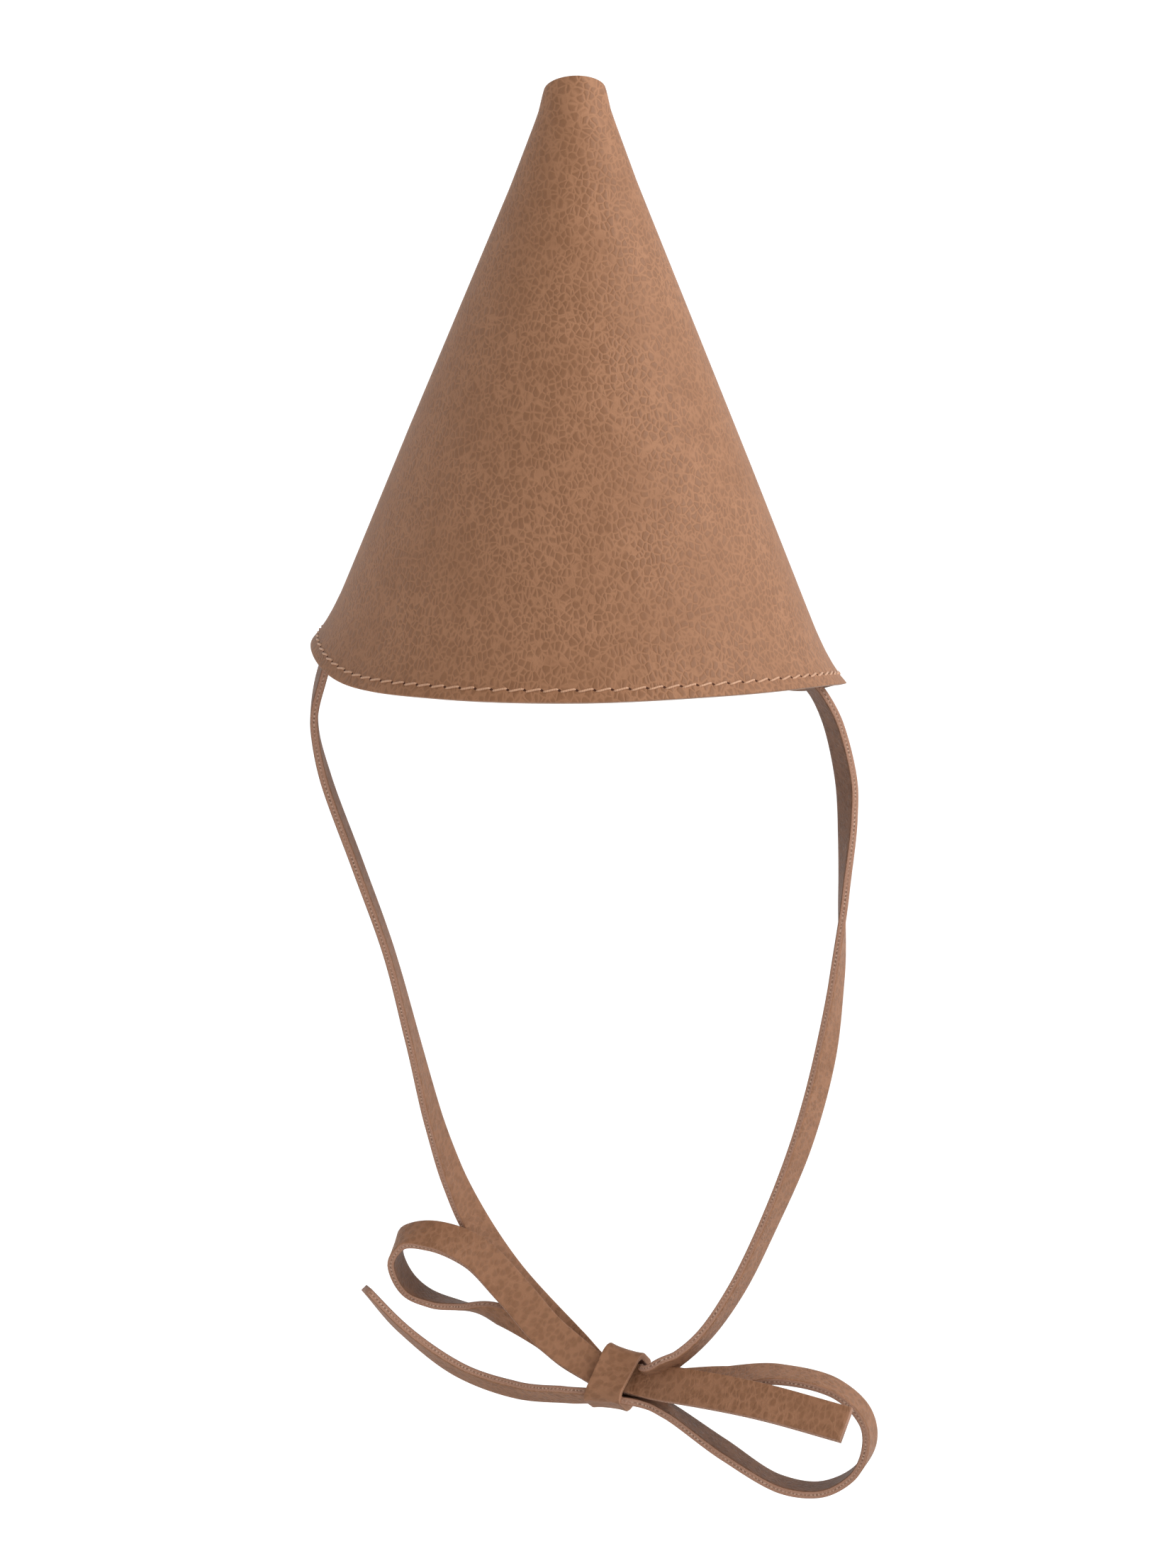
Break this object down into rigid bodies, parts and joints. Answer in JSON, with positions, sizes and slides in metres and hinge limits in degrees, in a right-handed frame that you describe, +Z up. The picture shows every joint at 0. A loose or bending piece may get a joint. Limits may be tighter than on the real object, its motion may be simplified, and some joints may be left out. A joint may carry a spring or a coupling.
{
  "type": "party hat",
  "caption": "Cone-shaped leather party hat with an open tip and a stitched rim, and flat chin ties hanging from inside the rim, tied in a bow.",
  "frame": {"origin": "middle of the cone's rim, at the rim's mean height, where the hat sits on a head", "axes": "+Z up the cone toward the tip, -Y the way the wearer looks, +X to the right as seen from the front"},
  "size_m": [0.1618, 0.15, 0.401],
  "materials": {
    "leather": "pebbled grain, satin",
    "tie_leather": "pebbled grain, satin"
  },
  "bodies": {
    "root": {"crown": "leather", "tie_right": "tie_leather", "tie_left": "tie_leather"}
  },
  "joints": []
}
